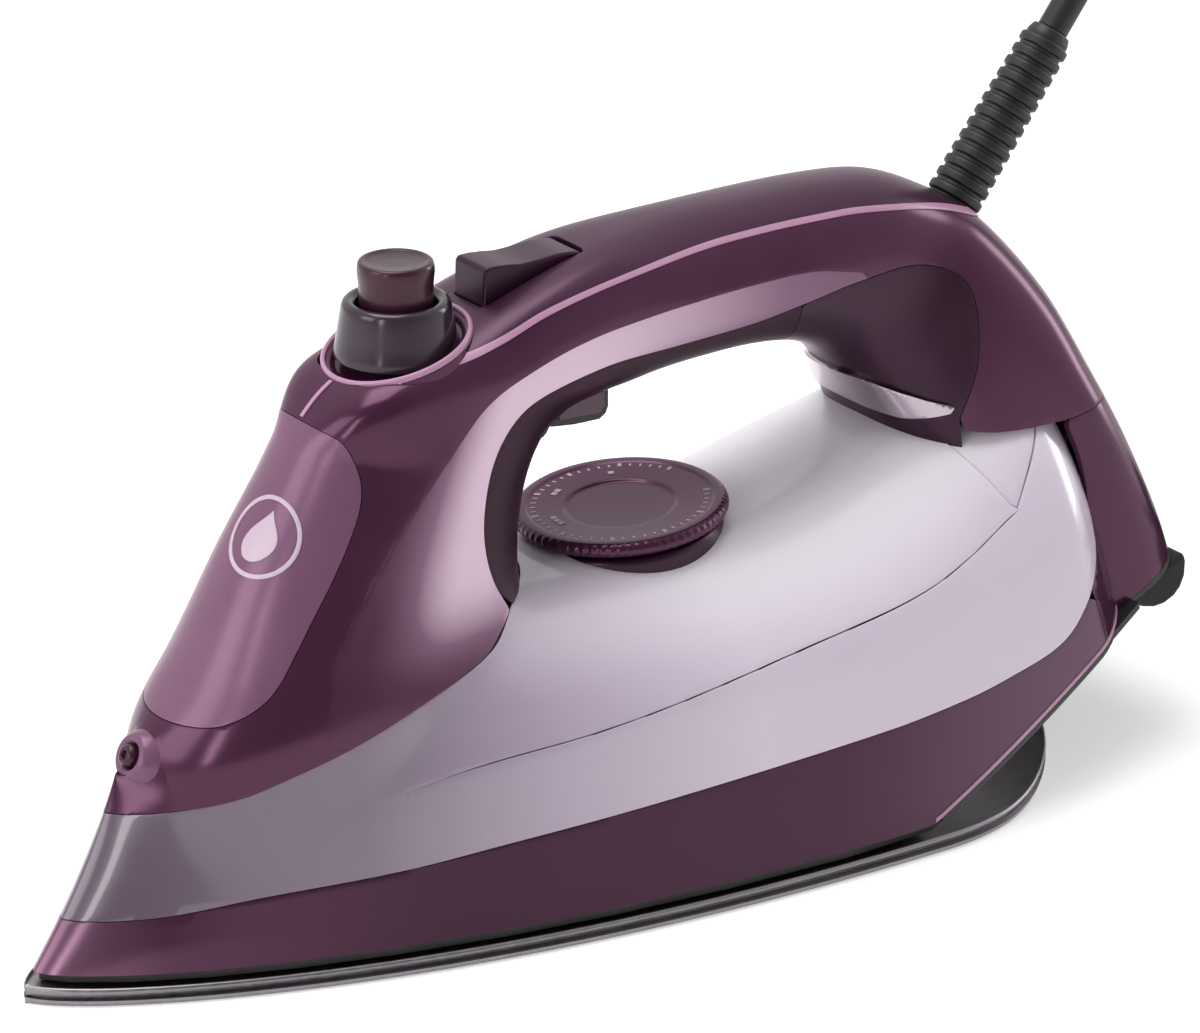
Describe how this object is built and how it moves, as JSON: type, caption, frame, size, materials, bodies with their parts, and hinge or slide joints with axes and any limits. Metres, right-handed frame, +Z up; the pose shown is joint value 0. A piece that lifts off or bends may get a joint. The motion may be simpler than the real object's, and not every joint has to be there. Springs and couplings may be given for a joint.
{
  "type": "steam iron",
  "caption": "Steam iron with a plum and lavender housing, closed handle, temperature dial, steam knob, shot and spray buttons and a mains cord.",
  "frame": {"origin": "under the middle of the iron's length, on the surface that it stands on, in its middle plane", "axes": "+Z up from the sole, +X from the nose towards the heel, +Y to the left when looking from the heel to the nose"},
  "size_m": [0.4562, 0.1222, 0.2192],
  "materials": {
    "sole_metal": "brushed, bare",
    "cast_metal": "rough cast",
    "steel": "satin",
    "brass": "satin",
    "plum_gloss": "gloss, moulded in colour",
    "dark_plum": "gloss, moulded in colour",
    "lavender_gloss": "pearl gloss",
    "clear_plum": "tinted clear plastic, polished",
    "soft_grip": "matt soft-touch overmould",
    "black_plastic": "fine matt texture",
    "foot_rubber": "matt",
    "smoke_plastic": "smoke-tinted, polished",
    "hose_rubber": "translucent silicone",
    "silver_gloss": "bright plated trim",
    "white_plastic": "natural moulding",
    "board": "lacquered circuit board",
    "cord_rubber": "matt"
  },
  "bodies": {
    "iron": {"soleplate": "sole_metal", "heater_casting": "cast_metal", "heating_element": "steel", "steam_chamber_cover": "steel", "heat_shield": "black_plastic", "skirt": "plum_gloss", "body_panel": "lavender_gloss", "heel_cover": "plum_gloss", "handle_shell": "plum_gloss", "door_hinge_pin": "steel", "handle_top_cover": "dark_plum", "grip_lining": "soft_grip", "rear_inner_cover": "dark_plum", "status_lens": "silver_gloss", "base_cover": "black_plastic", "heel_foot_left": "foot_rubber", "heel_foot_right": "foot_rubber", "water_tank": "smoke_plastic", "spray_nozzle_bezel": "plum_gloss", "spray_nozzle": "black_plastic", "spray_hose": "hose_rubber", "knob_bezel": "plum_gloss", "drip_valve": "brass", "pump_bracket": "black_plastic", "rocker_pin": "steel", "trigger_pin": "steel", "steam_pump_barrel": "white_plastic", "steam_pump_spring": "steel", "spray_pump_barrel": "white_plastic", "trigger_spring": "steel", "thermostat": "steel", "thermal_fuse": "white_plastic", "terminal_block": "white_plastic", "control_board": "board", "status_lamp": "white_plastic", "mains_lead": "cord_rubber", "cord_sleeve": "cord_rubber", "cord": "cord_rubber", "cord_coil": "cord_rubber", "cord_tie": "black_plastic", "cord_tail": "cord_rubber", "plug_body": "cord_rubber", "plug_pin_left": "brass", "plug_pin_right": "brass", "casting_screw_1": "steel", "casting_screw_2": "steel", "casting_screw_3": "steel", "casting_screw_4": "steel"},
    "filling_door": {"fill_door": "clear_plum"},
    "steam_knob": {"steam_regulator": "smoke_plastic", "valve_stem": "white_plastic", "jet_spring": "steel"},
    "jet": {"jet_button": "dark_plum"},
    "shot_rocker": {"steam_shot_button": "dark_plum"},
    "shot_piston": {"steam_pump_piston": "brass"},
    "trigger": {"spray_trigger": "black_plastic"},
    "spray_piston": {"spray_pump_piston": "brass"},
    "dial": {"temperature_dial": "plum_gloss", "dial_spindle": "white_plastic"}
  },
  "joints": [
    {"name": "filling_door_hinge", "type": "hinge", "parent": "iron", "child": "filling_door", "pos_m": [-0.1148, 0, 0.061], "axis": [0, -1, 0], "range_deg": [0, 60]},
    {"name": "steam_knob_turn", "type": "hinge", "parent": "iron", "child": "steam_knob", "pos_m": [-0.0545, 0, 0.1336], "axis": [0, 0, 1], "range_deg": [0, 90]},
    {"name": "jet_press", "type": "slide", "parent": "steam_knob", "child": "jet", "axis": [0, 0, -1], "range_m": [0, 0.003], "stiffness_N_per_m": 800, "springref_m": -0.001, "deforming": ["jet_spring"]},
    {"name": "shot_rocker_press", "type": "hinge", "parent": "iron", "child": "shot_rocker", "pos_m": [-0.0109, 0, 0.1395], "axis": [0, -1, 0], "range_deg": [0, 5], "stiffness_Nm_per_rad": 0.8, "springref_deg": -5.73},
    {"name": "shot_piston_stroke", "type": "slide", "parent": "iron", "child": "shot_piston", "axis": [0, 0, -1], "range_m": [0, 0.00161], "deforming": ["steam_pump_spring"]},
    {"name": "trigger_press", "type": "hinge", "parent": "iron", "child": "trigger", "pos_m": [-0.016, 0, 0.114], "axis": [0, -1, 0], "range_deg": [0, 8], "stiffness_Nm_per_rad": 0.5, "springref_deg": -5.73},
    {"name": "spray_piston_stroke", "type": "slide", "parent": "iron", "child": "spray_piston", "axis": [0, 0, 1], "range_m": [0, 0.00105], "deforming": ["trigger_spring"]},
    {"name": "dial_turn", "type": "hinge", "parent": "iron", "child": "dial", "pos_m": [0.006, 0, 0.0785], "axis": [-0.0872, 0, 0.9962], "range_deg": [0, 280]}
  ],
  "couplings": [
    {"joint": "shot_rocker_press", "follows": "shot_piston_stroke", "rad_per_m": 54.054},
    {"joint": "trigger_press", "follows": "spray_piston_stroke", "rad_per_m": 133.33}
  ]
}
